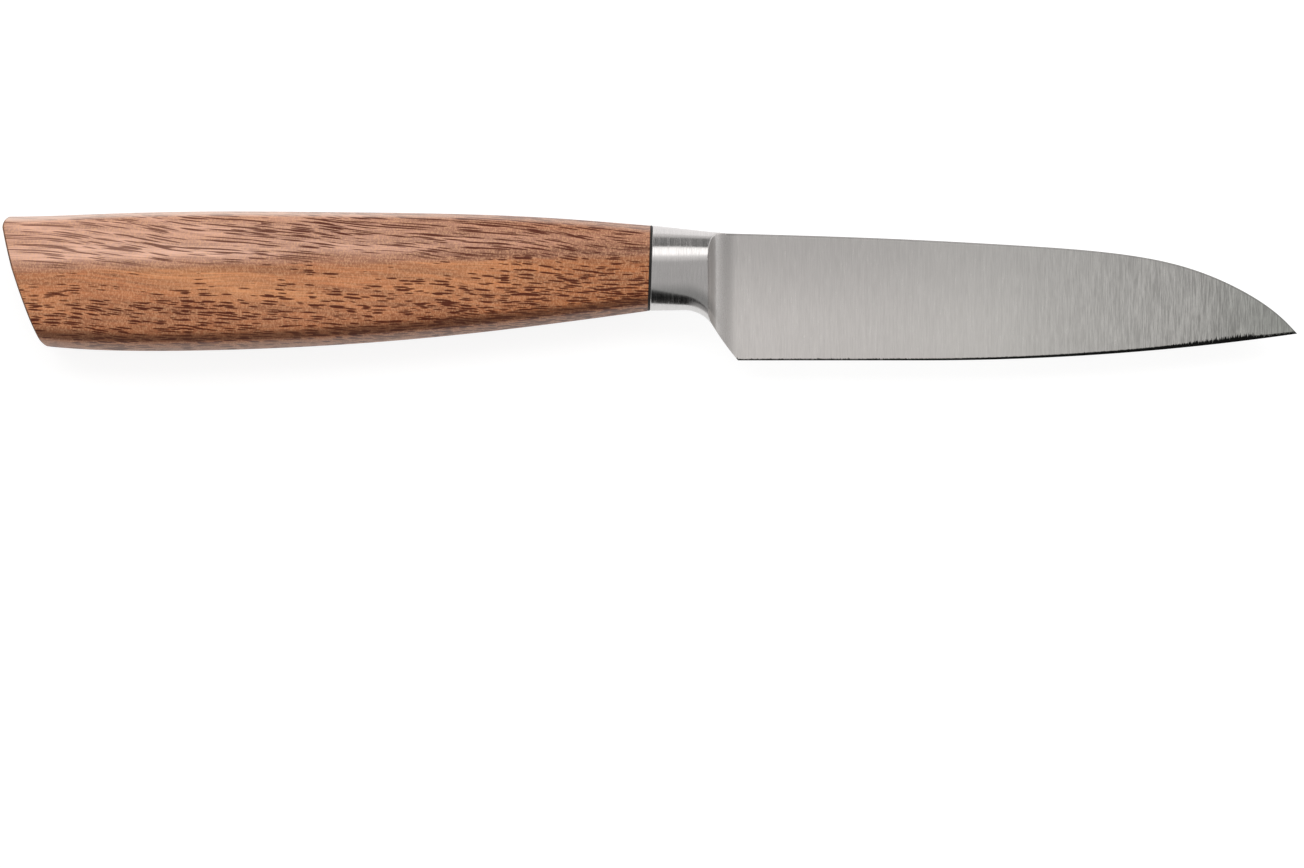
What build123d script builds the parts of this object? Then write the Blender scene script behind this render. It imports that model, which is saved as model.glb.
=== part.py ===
from build123d import *
from math import atan, cos, degrees, radians, sin, sqrt, tan
import os

# A paring knife that lies flat on its side: a forged blade with bolster and hidden tang,
# a thin fibre spacer, a faceted walnut handle and the adhesive that fills its bore.
# Lengths are in millimetres and angles in degrees.
# Places are given from the joint between bolster and spacer: along runs towards the tip,
# height towards the spine, and half widths go out both ways from the middle of the blade.

# Joint between the bolster and the handle
joint_top = 6.85
joint_bottom = 6.9
joint_ridge = 2.4
joint_half_width = 5.25
joint_lean = 1.9
spacer_thickness = 0.3

# Section at the joint: roundings of its corners and lean of its facets
joint_top_round = 4.4
joint_ridge_round = 5.0
joint_bottom_round = 3.8
joint_upper_lean = 30.0
lower_lean = 4.5

# Handle, from the joint to the upper corner of its slanted butt
handle_length = 104.65
crest_top = 9.04
belly_bottom = 13.38
swell_half_width = 7.4
swell_top_round = 3.0
swell_ridge_round = 2.0
swell_bottom_round = 4.5
swell_upper_lean = 20.0

# Stations of the handle: how far along it lies, then how much of the crest, of the belly,
# of the ridge's descent, of the growth in width and of the swelled form the section there has.
# The width grows evenly, so that the lower facets are flat and the knife lies still on them.
handle_station_shares = (
    (-0.02, -0.070, -0.045, -0.025, -0.023, -0.075),
    (0.00, 0.000, 0.000, 0.000, 0.000, 0.000),
    (0.16, 0.575, 0.345, 0.276, 0.173, 0.600),
    (0.35, 0.890, 0.685, 0.534, 0.366, 0.900),
    (0.56, 1.000, 0.918, 0.672, 0.587, 1.000),
    (0.77, 0.942, 1.000, 0.845, 0.803, 1.000),
    (1.03, 0.700, 0.600, 1.060, 1.069, 1.000),
)

# Butt: a bowed cut that slants from the upper to the lower corner
butt_top = 8.12
butt_ridge = -0.5
butt_bottom = 12.75
butt_slant_run = 6.7
butt_bow_radius = 95.0
butt_top_round = 2.0
butt_bottom_round = 3.2
butt_corner_lead = 16.0
butt_easing = 0.3

# Bolster and the neck that runs down to the heel
bolster_top_end = 5.55
bolster_half_width_end = 4.85
bolster_top_round_end = 2.2
neck_rise = 0.1
neck_straight_length = 5.4
neck_radius = 5.4
neck_turn = 58.4
neck_bottom_round_end = 1.2

# Stations of the neck as shares of the way along its underside, from joint to heel
neck_station_shares = (0.0, 0.15, 0.3, 0.41, 0.5, 0.57, 0.64, 0.73, 0.82)

# Blade
heel_along = 14.05
edge_length = 90.25
edge_drop = 14.92
edge_straight_length = 30.0
tip_drop = 10.6
grind_radius = 5.0
spine_half_thickness = 1.15
edge_half_thickness = 0.06
edge_bevel_angle = 20.0
spine_easing = 0.2

# Spine beyond the bolster: points as shares of the way to the tip, along and down
spine_point_shares = (
    (0.253, 0.045),
    (0.520, 0.123),
    (0.673, 0.194),
    (0.804, 0.336),
    (0.900, 0.560),
    (0.975, 0.853),
)

# Tang, its keying notches and the bore that the adhesive fills
tang_length = 78.0
tang_root_height = 9.0
tang_end_height = 6.0
tang_thickness = 3.4
tang_sag = 1.5
tang_root_depth = 3.0
tang_end_round = 2.0
notch_radius = 1.1
notch_shares = (0.35, 0.7)
glue_gap = 0.5

# How far cutting shapes and stock run past what they cut
overrun = 2.0

blade_tip = heel_along + edge_length
heel = (heel_along, -edge_drop)


os.makedirs("parts", exist_ok=True)


def between(first, last, share):
    """The value a share of the way from the first to the last."""
    return first + (last - first) * share


def held(radius, turn, room):
    """A corner's radius, limited so that its rounding stays within the room beside it."""
    return min(radius, room / tan(radians(turn / 2)))


# Underside of the neck, from the joint down to the heel
with BuildLine() as underside:
    flat = Line((0, -joint_bottom), (neck_straight_length, neck_rise - joint_bottom))
    bend = JernArc(flat @ 1, tangent=(1, 0), radius=neck_radius, arc_size=-neck_turn)
    TangentArc(bend @ 1, heel, tangent=bend % 1)

neck_foot = underside.wire() @ neck_station_shares[-1]
neck_end = neck_foot.X

# Everything ahead of the slanted butt. Its rounded corners run into crest and belly at a lead.
upper_corner = (-handle_length, butt_top)
lower_corner = (butt_slant_run - handle_length, -butt_bottom)
with BuildSketch() as butt_outline:
    with BuildLine():
        RadiusArc(upper_corner, lower_corner, -butt_bow_radius)
        upper_side = PolarLine(upper_corner, length=handle_length + overrun, angle=butt_corner_lead)
        lower_side = PolarLine(lower_corner, length=handle_length + overrun, angle=-butt_corner_lead)
        Line(upper_side @ 1, lower_side @ 1)
    make_face()
    fillet(butt_outline.vertices().sort_by_distance(upper_corner)[0], radius=butt_top_round)
    fillet(butt_outline.vertices().sort_by_distance(lower_corner)[0], radius=butt_bottom_round)

butt_reach = -butt_outline.sketch.bounding_box().min.X

# The knife lies on its side: the middle plane of the blade is half the handle's width up,
# and the origin is on the ground under the middle of the knife.
lying = Plane(
    origin=((butt_reach - blade_tip) / 2, (edge_drop - crest_top) / 2, swell_half_width)
)


def station(along, lean=0.0):
    """Plane across the knife: local x is the thickness and local y the height."""
    return Plane(
        origin=lying.from_local_coords((along, 0, 0)),
        x_dir=(0, 0, 1),
        z_dir=(-cos(radians(lean)), sin(radians(lean)), 0),
    )


def section(plane, top, bottom, ridge, half_width, upper_lean, top_round, ridge_round, bottom_round):
    """Faceted section: a narrow top, facets that lean away from a ridge, a rounded bottom."""
    upper_height = top - ridge
    lower_height = ridge + bottom
    facet = upper_height / cos(radians(upper_lean))
    ridge_turn = upper_lean + lower_lean
    top_turn = 90 - upper_lean
    bottom_turn = 90 - lower_lean
    ridge_radius = held(ridge_round, ridge_turn, facet / 3)
    ridge_normal = radians((upper_lean - lower_lean) / 2)
    ridge_half = half_width + ridge_radius * (cos(ridge_normal) / cos(radians(ridge_turn / 2)) - 1)
    top_half = ridge_half - upper_height * tan(radians(upper_lean))
    bottom_half = ridge_half - lower_height * tan(radians(lower_lean))
    top_radius = held(top_round, top_turn, min(facet / 2, top_half))
    bottom_radius = held(bottom_round, bottom_turn, min(lower_height / 2, bottom_half))
    radii = (top_radius, ridge_radius, bottom_radius)
    with BuildSketch(plane) as outline:
        with BuildLine():
            FilletPolyline(
                (top_half, top),
                (ridge_half, ridge),
                (bottom_half, -bottom),
                (-bottom_half, -bottom),
                (-ridge_half, ridge),
                (-top_half, top),
                radius=radii + radii[::-1],
                close=True,
            )
        make_face()
    return outline.sketch


def neck_section(share, behind=0.0):
    """The section of bolster and neck over a point of the underside, or that far behind it."""
    foot = underside.wire() @ share
    along_share = foot.X / neck_end
    return section(
        station(foot.X - behind),
        top=between(joint_top, bolster_top_end, along_share),
        bottom=-foot.Y,
        ridge=joint_ridge,
        half_width=between(joint_half_width, bolster_half_width_end, along_share),
        upper_lean=joint_upper_lean,
        top_round=between(joint_top_round, bolster_top_round_end, along_share),
        ridge_round=joint_ridge_round,
        bottom_round=between(joint_bottom_round, neck_bottom_round_end, along_share),
    )


def handle_section(along_share, crest_share, belly_share, ridge_share, swell_share, form_share):
    """The section of the handle at one of its stations."""
    return section(
        station(-spacer_thickness - handle_length * along_share),
        top=between(joint_top, crest_top, crest_share),
        bottom=between(joint_bottom, belly_bottom, belly_share),
        ridge=between(joint_ridge, butt_ridge, ridge_share),
        half_width=between(joint_half_width, swell_half_width, swell_share),
        upper_lean=between(joint_upper_lean, swell_upper_lean, form_share),
        top_round=between(joint_top_round, swell_top_round, form_share),
        ridge_round=between(joint_ridge_round, swell_ridge_round, form_share),
        bottom_round=between(joint_bottom_round, swell_bottom_round, form_share),
    )


def tang_place(share, side, allowance=0.0):
    """A point on the upper (side 1) or lower (side -1) edge of the tang or its bore."""
    height = between(tang_root_height, tang_end_height, share) / 2 + allowance
    return (-tang_length * share, side * height - tang_sag * share)


def tang_outline(allowance):
    """Side view of the tapered tang, or of its bore with the glue gap as allowance."""
    end_share = 1 + allowance / tang_length
    root_share = -tang_root_depth / tang_length
    with BuildSketch(lying) as outline:
        with BuildLine():
            Polyline(
                tang_place(root_share, 1, allowance),
                tang_place(end_share, 1, allowance),
                tang_place(end_share, -1, allowance),
                tang_place(root_share, -1, allowance),
                close=True,
            )
        make_face()
        fillet(outline.vertices().sort_by(Axis.X)[:2], radius=tang_end_round + allowance)
    return outline.sketch


joint_plane = station(0, joint_lean)
handle_plane = joint_plane.offset(spacer_thickness)

# Blade, bolster, neck and tang: one forging
flank_slope = (spine_half_thickness - edge_half_thickness) / (edge_drop + bolster_top_end)
flank_scale = sqrt(1 + flank_slope**2)
grind_run = heel_along - neck_end
grind_foot = spine_half_thickness + grind_radius - sqrt(grind_radius**2 - grind_run**2)
stock_half = grind_foot + spine_easing
clear_half = bolster_half_width_end + joint_half_width

with BuildPart() as blade:
    loft(
        sections=[neck_section(0, behind=overrun)]
        + [neck_section(share) for share in neck_station_shares]
    )
    split(bisect_by=joint_plane, keep=Keep.BOTTOM)

    # Stock for the blade, deeper than the edge that is ground from it below
    spine_start = (neck_end, bolster_top_end)
    tip = (blade_tip, -tip_drop)
    stock_bottom = -edge_drop - overrun
    with BuildSketch(lying.offset(-stock_half)):
        with BuildLine():
            Spline(
                spine_start,
                *[
                    (between(neck_end, blade_tip, along), between(bolster_top_end, -tip_drop, down))
                    for along, down in spine_point_shares
                ],
                tip,
            )
            Polyline(tip, (blade_tip, stock_bottom), (heel_along, stock_bottom), heel)
            TangentArc(
                neck_foot,
                heel,
                tangent=underside.wire() % neck_station_shares[-1],
            )
            Line((neck_foot.X, neck_foot.Y), spine_start)
        make_face()
    extrude(amount=2 * stock_half)

    # Full flat grind on each side, which runs up to the bolster in a hollow
    for side in (1, -1):
        flank = Plane(
            origin=lying.from_local_coords((heel_along, -edge_drop, side * edge_half_thickness)),
            x_dir=(1, 0, 0),
            z_dir=(0, -side, -flank_slope),
        )
        with BuildSketch(flank):
            with BuildLine():
                CenterArc((0, grind_radius), grind_radius, 180, 90)
                Polyline(
                    (0, 0),
                    (edge_length + overrun, 0),
                    (edge_length + overrun, clear_half),
                    (-grind_radius, clear_half),
                    (-grind_radius, grind_radius),
                )
            make_face()
        extrude(amount=edge_drop + joint_top, both=True, mode=Mode.SUBTRACT)

    # Eased long corners of the spine
    spine_corners = (
        blade.edges()
        .filter_by(lambda edge: edge.length > grind_radius)
        .filter_by(lambda edge: edge.center().X > lying.from_local_coords((heel_along, 0, 0)).X)
        .filter_by(lambda edge: edge.center().Y > lying.from_local_coords((0, -tip_drop, 0)).Y)
    )
    chamfer(spine_corners, length=spine_easing)

    # Edge bevels: a flat one along the straight edge and a cone round its belly
    belly_run = edge_length - edge_straight_length
    belly_rise = edge_drop - tip_drop
    belly_radius = (belly_run**2 + belly_rise**2) / (2 * belly_rise)
    belly_turn = degrees(2 * atan(belly_rise / belly_run) + overrun / belly_radius)
    belly_start = heel_along + edge_straight_length
    bevel_depth = edge_half_thickness + flank_slope * edge_drop
    for side in (1, -1):
        for depth in (0, bevel_depth):
            inset = depth / tan(radians(edge_bevel_angle))
            with BuildSketch(lying.offset(side * depth)):
                with BuildLine():
                    start = (heel_along - overrun, inset - edge_drop)
                    turn = (belly_start, inset - edge_drop)
                    Line(start, turn)
                    belly = CenterArc(
                        (belly_start, belly_radius - edge_drop),
                        belly_radius - inset,
                        270,
                        belly_turn,
                    )
                    end = belly @ 1
                    Polyline(
                        (end.X, end.Y),
                        (end.X, stock_bottom - overrun),
                        (start[0], stock_bottom - overrun),
                        start,
                    )
                make_face()
        loft(ruled=True, mode=Mode.SUBTRACT)

    # Hidden tang with its keying notches
    extrude(tang_outline(0), amount=tang_thickness / 2, both=True)
    for share in notch_shares:
        for side in (1, -1):
            with BuildSketch(lying):
                with Locations(tang_place(share, side)):
                    Circle(notch_radius)
            extrude(amount=tang_thickness, both=True, mode=Mode.SUBTRACT)

blade.part.label = "blade"
export_step(blade.part, "parts/blade.step")

# Spacer: a thin washer round the root of the tang
bore_half = tang_thickness / 2 + glue_gap
joint_section = section(
    joint_plane,
    top=joint_top,
    bottom=joint_bottom,
    ridge=joint_ridge,
    half_width=joint_half_width,
    upper_lean=joint_upper_lean,
    top_round=joint_top_round,
    ridge_round=joint_ridge_round,
    bottom_round=joint_bottom_round,
)

with BuildPart() as spacer:
    extrude(joint_section, amount=spacer_thickness)
    extrude(tang_outline(glue_gap), amount=bore_half, both=True, mode=Mode.SUBTRACT)

spacer.part.label = "spacer"
export_step(spacer.part, "parts/spacer.step")

# Handle: a faceted walnut block with a slanted butt and the bore for the tang
with BuildPart() as handle:
    loft(sections=[handle_section(*shares) for shares in handle_station_shares])
    split(bisect_by=handle_plane, keep=Keep.TOP)
    with BuildSketch(lying):
        add(butt_outline.sketch)
    extrude(amount=clear_half, both=True, mode=Mode.INTERSECT)
    butt_faces = handle.faces().filter_by(GeomType.CYLINDER)
    chamfer(butt_faces.edges().filter_by(GeomType.LINE, reverse=True), length=butt_easing)
    extrude(tang_outline(glue_gap), amount=bore_half, both=True, mode=Mode.SUBTRACT)

handle.part.label = "handle"
export_step(handle.part, "parts/handle.step")

# Adhesive: everything in the bore that the tang leaves free
with BuildPart() as tang_adhesive:
    extrude(tang_outline(glue_gap), amount=bore_half, both=True)
    split(bisect_by=joint_plane, keep=Keep.TOP)
    add(blade.part, mode=Mode.SUBTRACT)

tang_adhesive.part.label = "tang_adhesive"
export_step(tang_adhesive.part, "parts/tang_adhesive.step")
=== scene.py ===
import math

import bpy
import numpy as np
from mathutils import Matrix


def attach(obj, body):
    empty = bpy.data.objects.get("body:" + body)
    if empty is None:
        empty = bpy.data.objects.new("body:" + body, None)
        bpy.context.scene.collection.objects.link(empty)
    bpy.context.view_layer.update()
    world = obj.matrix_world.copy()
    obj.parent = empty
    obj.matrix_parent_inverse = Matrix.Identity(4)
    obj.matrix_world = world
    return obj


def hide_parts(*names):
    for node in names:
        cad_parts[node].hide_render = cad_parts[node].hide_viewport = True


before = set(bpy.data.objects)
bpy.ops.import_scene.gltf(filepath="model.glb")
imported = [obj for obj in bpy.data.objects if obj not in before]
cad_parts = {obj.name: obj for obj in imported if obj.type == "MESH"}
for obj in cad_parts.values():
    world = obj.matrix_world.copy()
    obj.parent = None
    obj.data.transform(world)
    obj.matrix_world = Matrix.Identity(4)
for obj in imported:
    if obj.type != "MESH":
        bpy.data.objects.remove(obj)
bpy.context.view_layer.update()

# A paring knife on its side. Shapes are worked out in millimetres from the joint between
# bolster and spacer: along runs to the tip, height to the spine and depth out of the blade's
# middle. MIDDLE is where that joint lies in the frame.
MIDDLE = (0.00705, 2.94, 7.4)
MM = 0.001

# The joint leans. SPACER_RUN is what the spacer takes of the length.
JOINT_ANGLE = math.radians(1.9)
JOINT_LEAN = math.tan(JOINT_ANGLE)
SPACER_THICK = 0.3
SPACER_RUN = SPACER_THICK / math.cos(JOINT_ANGLE)

# Sections: top, bottom, ridge and half the thickness, the upper facet's lean in degrees, and
# the roundings of the top's corner, the ridge and the bottom's corner
JOINT_TOP, JOINT_BOTTOM = 6.85, 6.9
AT_JOINT = (JOINT_TOP, JOINT_BOTTOM, 2.4, 5.25, 30.0, 4.4, 5.0, 3.8)
AT_SWELL = (9.04, 13.38, -0.5, 7.4, 20.0, 3.0, 2.0, 4.5)
LOWER_ANGLE = math.radians(4.5)

# Handle: its swelling at stations of its length, as shares from the joint's section to the
# swell's. Columns: station, top, bottom, ridge, half the thickness, and lean and roundings.
STATIONS = np.array((
    (-0.02, -0.070, -0.045, -0.025, -0.023, -0.075),
    (0.00, 0.000, 0.000, 0.000, 0.000, 0.000),
    (0.16, 0.575, 0.345, 0.276, 0.173, 0.600),
    (0.35, 0.890, 0.685, 0.534, 0.366, 0.900),
    (0.56, 1.000, 0.918, 0.672, 0.587, 1.000),
    (0.77, 0.942, 1.000, 0.845, 0.803, 1.000),
    (1.03, 0.700, 0.600, 1.060, 1.069, 1.000),
))
HANDLE_LENGTH = 104.65
HANDLE_STEPS = (3, 12, 12, 8, 16, 14, 3)
HANDLE_ROWS, HANDLE_ROUNDS = 121, 24
FRONT_EASE, BUTT_EASE = 0.12, 0.3

# Butt: its corners before they are rounded, the bow's radius, and how the long edges lead in,
# with the steps of a corner and of the bow and the length that is drawn of the long edges
BUTT_TOP, BUTT_FOOT = np.array((-HANDLE_LENGTH, 8.12)), np.array((-97.95, -12.75))
BUTT_TOP_ROUND, BUTT_FOOT_ROUND = 2.0, 3.2
BUTT_BOW = 95.0
BUTT_LEAD = math.radians(16.0)
CORNER_STEPS, BOW_STEPS, EDGE_LENGTH = 12, 40, 30

# Tang, its notches as shares of its length, and the glue's thickness round it in the bore
TANG_LENGTH, TANG_ROOT, TANG_END, TANG_HALF, TANG_SAG = 78.0, 9.0, 6.0, 1.7, 1.5
TANG_ROUND, TANG_STRAIGHT, TANG_ROWS = 2.0, 75.5, 40
NOTCHES = (0.35, 0.7)
NOTCH_RADIUS, NOTCH_RIM, NOTCH_CLEAR = 1.1, 1.101, 1.3
GLUE = 0.5

# Bolster and neck: the section shrinks to these at the neck's end, at a share of the underside,
# which runs on with a slight rise, bends down and sweeps out to the heel. The bolster's face
# leans with the joint, and its rings stand straight again from LEAN_END on.
NECK_TOP, NECK_HALF, NECK_TOP_ROUND, NECK_BOTTOM_ROUND = 5.55, 4.85, 2.2, 1.2
NECK_END_SHARE = 0.82
NECK_RISE, NECK_STRAIGHT = 0.1, 5.4
BEND_RADIUS, BEND_HEIGHT, BEND_TURN = 5.4, -12.2, math.radians(58.4)
BOLSTER_EASE, LEAN_END = 0.2, 9.0

# Blade: its edge is straight to EDGE_TURN and then curves up to the tip, and its spine runs
# through shares of the way from the neck's end. From THIN_FROM on it thins towards the tip.
HEEL = (14.05, -14.92)
TIP = (104.3, -10.6)
EDGE_TURN = 44.05
SPINE_POINTS = (
    (0.0, 0.0), (0.253, 0.045), (0.520, 0.123), (0.673, 0.194), (0.804, 0.336), (0.900, 0.560),
    (0.975, 0.853), (1.0, 1.0),
)
SPINE_HALF, EDGE_HALF, SPINE_EASE = 1.15, 0.06, 0.2
FLANK_SLOPE = (SPINE_HALF - EDGE_HALF) / (NECK_TOP - HEEL[1])
BEVEL = math.tan(math.radians(20.0))
THIN_FROM, TIP_THINNER = 92.0, 0.45

# Grind: its hollow's radius, how steep the ramp is beyond it, and the softness of the crease
GRIND_RADIUS, BEYOND_SLOPE, CREASE = 5.0, 40, 0.22

# Rows round the blade: the spine's flat, its eased corner, the side, and the edge's flat. On
# the neck they lie closer where the outline turns, and they even out in EVEN_AFTER of blade.
FLAT_ROWS, EASE_ROWS, SIDE_ROWS, FOOT_ROWS = 6, 5, 112, 6
NECK_STEPS = (10, 60, 60, 60, 120, 60, 10)
CORNER_WEIGHT, RIDGE_WEIGHT = 2.2, 1.3
EVEN_AFTER = 10.0

# How far up the edge's painted dark band reaches at places along the edge, and a measure for what
# lies far off
DARK_BAND_PLACES = (14.0, 30.0, 42.0, 56.0, 71.0, 79.5, 87.0, 94.0, 97.0, 99.4, 104.3)
DARK_BAND_REACH = (0.22, 0.24, 0.30, 0.38, 0.46, 0.50, 0.66, 0.95, 0.75, 0.36, 0.30)
DARK_BAND_FROM = HEEL[0] - 0.4
FAR = 9.0

QUARTER_TURNS = [math.pi / 2 * n / 4 for n in range(1, 5)]


def between(first, last, share):
    return first + (last - first) * share


def smooth_step(low, high, value):
    share = np.clip((value - low) / (high - low), 0.0, 1.0)
    return share * share * (3 - 2 * share)


def soft_minimum(a, b, width):
    near = np.maximum(width - np.abs(a - b), 0.0) / width
    return np.minimum(a, b) - near * near * width / 4


def running_length(steps):
    return np.concatenate([[0.0], np.cumsum(steps)])


def slowing(count):
    """Shares from 0 to 1 that come closer together towards 1, without the 0."""
    return np.sin(np.linspace(0.0, math.pi / 2, count)[1:])


def direction(angle):
    return np.array((math.cos(angle), math.sin(angle)))


# The faceted section. A point on its right half has a piece of the outline and a share of it:
# the pieces are numbered from the top's flat down to the bottom's.
TOP_FLAT, TOP_CORNER, UPPER_FACET, RIDGE, LOWER_FACET, BOTTOM_CORNER, BOTTOM_FLAT = range(7)


def outline_codes(counts):
    codes = []
    for piece, count in enumerate(counts):
        codes += [(piece, step / count) for step in range(count)]
    return np.array(codes + [(BOTTOM_FLAT, 1.0)])


def section_points(codes, top, bottom, ridge, half, lean, top_round, ridge_round, bottom_round):
    """Heights and depths of the outline's points, one section per row."""
    lean = np.radians(lean)
    low = LOWER_ANGLE
    upper = top - ridge
    lower = ridge + bottom
    facet = upper / np.cos(lean)
    ridge_turn = lean + low
    top_turn = math.pi / 2 - lean
    bottom_turn = math.pi / 2 - low
    r_ridge = np.minimum(ridge_round, facet / 3 / np.tan(ridge_turn / 2))
    ridge_half = half + r_ridge * (np.cos((lean - low) / 2) / np.cos(ridge_turn / 2) - 1)
    top_half = ridge_half - upper * np.tan(lean)
    bottom_half = ridge_half - lower * math.tan(low)
    r_top = np.minimum(top_round, np.minimum(facet / 2, top_half) / np.tan(top_turn / 2))
    bottom_room = np.minimum(lower / 2, bottom_half)
    r_bottom = np.minimum(bottom_round, bottom_room / math.tan(bottom_turn / 2))
    t_top = r_top * np.tan(top_turn / 2)
    t_ridge = r_ridge * np.tan(ridge_turn / 2)
    t_bottom = r_bottom * math.tan(bottom_turn / 2)
    piece, share = codes[:, 0], codes[:, 1]

    def arc(centre_y, centre_z, radius, start, turn):
        angle = start + share * turn
        return centre_y + radius * np.cos(angle), centre_z + radius * np.sin(angle)

    def straight(start, end):
        return between(start[0], end[0], share), between(start[1], end[1], share)

    top_arc = (top - r_top, top_half - t_top)
    top_end = (top_arc[0] + r_top * np.cos(top_turn), top_arc[1] + r_top * np.sin(top_turn))
    ridge_start = (ridge + t_ridge * np.cos(lean), ridge_half - t_ridge * np.sin(lean))
    ridge_arc = (
        ridge_start[0] - r_ridge * np.cos(top_turn),
        ridge_start[1] - r_ridge * np.sin(top_turn),
    )
    ridge_end = (ridge - t_ridge * math.cos(low), ridge_half - t_ridge * math.sin(low))
    low_start = (t_bottom * math.cos(low) - bottom, bottom_half + t_bottom * math.sin(low))
    bottom_from = math.pi / 2 + low
    bottom_arc = (
        low_start[0] - r_bottom * math.cos(bottom_from),
        low_start[1] - r_bottom * math.sin(bottom_from),
    )
    nothing = np.zeros_like(top)
    made = [
        straight((top, nothing), (top, top_arc[1])),
        arc(*top_arc, r_top, 0.0, top_turn),
        straight(top_end, ridge_start),
        arc(*ridge_arc, r_ridge, top_turn, ridge_turn),
        straight(ridge_end, low_start),
        arc(*bottom_arc, r_bottom, bottom_from, bottom_turn),
        straight((-bottom, bottom_arc[1]), (-bottom, nothing)),
    ]
    height = sum(np.where(piece == n, y, 0.0) for n, (y, _) in enumerate(made))
    depth = sum(np.where(piece == n, z, 0.0) for n, (_, z) in enumerate(made))
    return height, depth


def rim_normals(height, depth):
    """Outward directions across a ring of points, from its neighbours."""
    full_y = np.concatenate([height[..., 1:2], height, height[..., -2:-1]], axis=-1)
    full_z = np.concatenate([-depth[..., 1:2], depth, -depth[..., -2:-1]], axis=-1)
    along_y = full_y[..., 2:] - full_y[..., :-2]
    along_z = full_z[..., 2:] - full_z[..., :-2]
    length = np.hypot(along_y, along_z) + 1e-12
    return along_z / length, -along_y / length


def whole_ring(x, y, z):
    """Both sides of half rings that run from the top's middle to the bottom's middle."""
    return np.stack([
        np.concatenate([x, x[..., -2:0:-1]], axis=-1),
        np.concatenate([y, y[..., -2:0:-1]], axis=-1),
        np.concatenate([z, -z[..., -2:0:-1]], axis=-1),
    ], axis=-1)


def eased_rim(x, y, z, reach):
    """Rings that round off a rim: on from it along by `reach`, and inward by as much."""
    out_y, out_z = rim_normals(y, z)
    rings = []
    for turn in QUARTER_TURNS:
        inset = abs(reach) * (1 - math.cos(turn))
        inward_z = np.maximum(z - out_z * inset, 0.0)
        rings.append(whole_ring(x + reach * math.sin(turn), y - out_y * inset, inward_z))
    return np.array(rings)


class Shape:
    """Vertices and faces of one piece as they are gathered."""

    def __init__(self):
        self.points, self.faces = [], []
        self.count = 0

    def rings(self, rings, flip=False):
        """Rings of equal size joined one after another. Returns the index of every point."""
        points = rings.reshape(-1, 3)
        index = np.arange(self.count, self.count + len(points)).reshape(rings.shape[:2])
        self.points.append(points)
        self.count += len(points)
        a, b = index[:-1], index[1:]
        a2, b2 = np.roll(a, -1, axis=1), np.roll(b, -1, axis=1)
        quads = np.stack([a, a2, b2, b] if flip else [a, b, b2, a2], axis=-1).reshape(-1, 4)
        self.faces += quads.tolist()
        return index

    def lid(self, ring, flip=False):
        """A ruled lid: strips straight across from one side of a ring to the other."""
        half = len(ring) // 2
        right = ring[: half + 1]
        left = np.concatenate([ring[:1], ring[:half - 1:-1]])
        for n in range(half):
            face = [right[n], right[n + 1], left[n + 1], left[n]]
            face = [face[k] for k in range(4) if face[k] != face[k - 1]]
            self.faces.append(face[::-1] if flip else face)

    def washer(self, outer, inner, flip=False):
        """A flat lid with a hole, as two halves."""
        half, hole = len(outer) // 2, len(inner) // 2
        right = list(outer[: half + 1]) + list(inner[: hole + 1][::-1])
        left = list(outer[half:]) + [outer[0], inner[0]] + list(inner[hole:][::-1])
        for face in (right, left):
            self.faces.append(face[::-1] if flip else face)

    def piece(self, name, node, slot, material, sharp):
        """The finished piece. Edges that turn by more than `sharp` degrees stay sharp."""
        mesh = bpy.data.meshes.new(name)
        points = np.concatenate(self.points) + np.array(MIDDLE)
        mesh.from_pydata((points * MM).tolist(), [], self.faces)
        mesh.validate()
        mesh.shade_smooth()
        mesh.set_sharp_from_angle(angle=math.radians(sharp))
        made = bpy.data.objects.new(name, mesh)
        bpy.context.scene.collection.objects.link(made)
        made.data.materials.append(material)
        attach(made, "root")
        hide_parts(node)
        return made


def mark(piece, name, values):
    """Keep a value for every point of a piece, which its material reads by name."""
    kept = piece.data.attributes.new(name, "FLOAT", "POINT")
    kept.data.foreach_set("value", values.astype(np.float32))


def tang_rings(allowance, notches, start):
    """Square rings of the tang or of its bore, from the joint to the rounded end."""
    places = list(np.linspace(0.0, -TANG_STRAIGHT, TANG_ROWS))
    for notch in notches:
        middle = -TANG_LENGTH * notch
        places = [place for place in places if abs(place - middle) > NOTCH_CLEAR]
        places += [middle + NOTCH_RADIUS * math.cos(math.pi * n / 10) for n in range(11)]
        places += [middle - NOTCH_RIM, middle + NOTCH_RIM]
    end = TANG_LENGTH + allowance
    corner = TANG_ROUND + allowance
    places = np.concatenate([sorted(places, reverse=True), -end + corner * (1 - slowing(7))])
    share = -places / TANG_LENGTH
    half = between(TANG_ROOT, TANG_END, share) / 2 + allowance
    middle = -TANG_SAG * share
    depth = TANG_HALF + allowance
    into = np.clip((-places - (end - corner)) / corner, 0.0, 1.0)
    half = half - corner * (1 - np.sqrt(1 - into**2))
    for notch in notches:
        from_notch = np.clip(np.abs(places + TANG_LENGTH * notch) / NOTCH_RADIUS, 0.0, 1.0)
        half = half - NOTCH_RADIUS * np.sqrt(1 - from_notch**2)
    nothing = np.zeros_like(places)
    y = np.stack([middle + half, middle + half, middle - half, middle - half], axis=-1)
    z = np.stack([nothing, nothing + depth, nothing + depth, nothing], axis=-1)
    rings = whole_ring(np.repeat(places[:, None], 4, axis=1), y, z)
    rings[0, :, 0] = rings[0, :, 1] * JOINT_LEAN - start
    return rings


# Handle
SWELLING = [np.polyfit(STATIONS[:, 0], STATIONS[:, n], 6) for n in range(1, 6)]


def handle_section(codes, along):
    station = (-along - SPACER_THICK) / HANDLE_LENGTH
    crest, belly, ridge, swell, form = (np.polyval(curve, station) for curve in SWELLING)
    shares = (crest, belly, ridge, swell, form, form, form, form)
    return section_points(codes, *map(between, AT_JOINT, AT_SWELL, shares))


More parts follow.
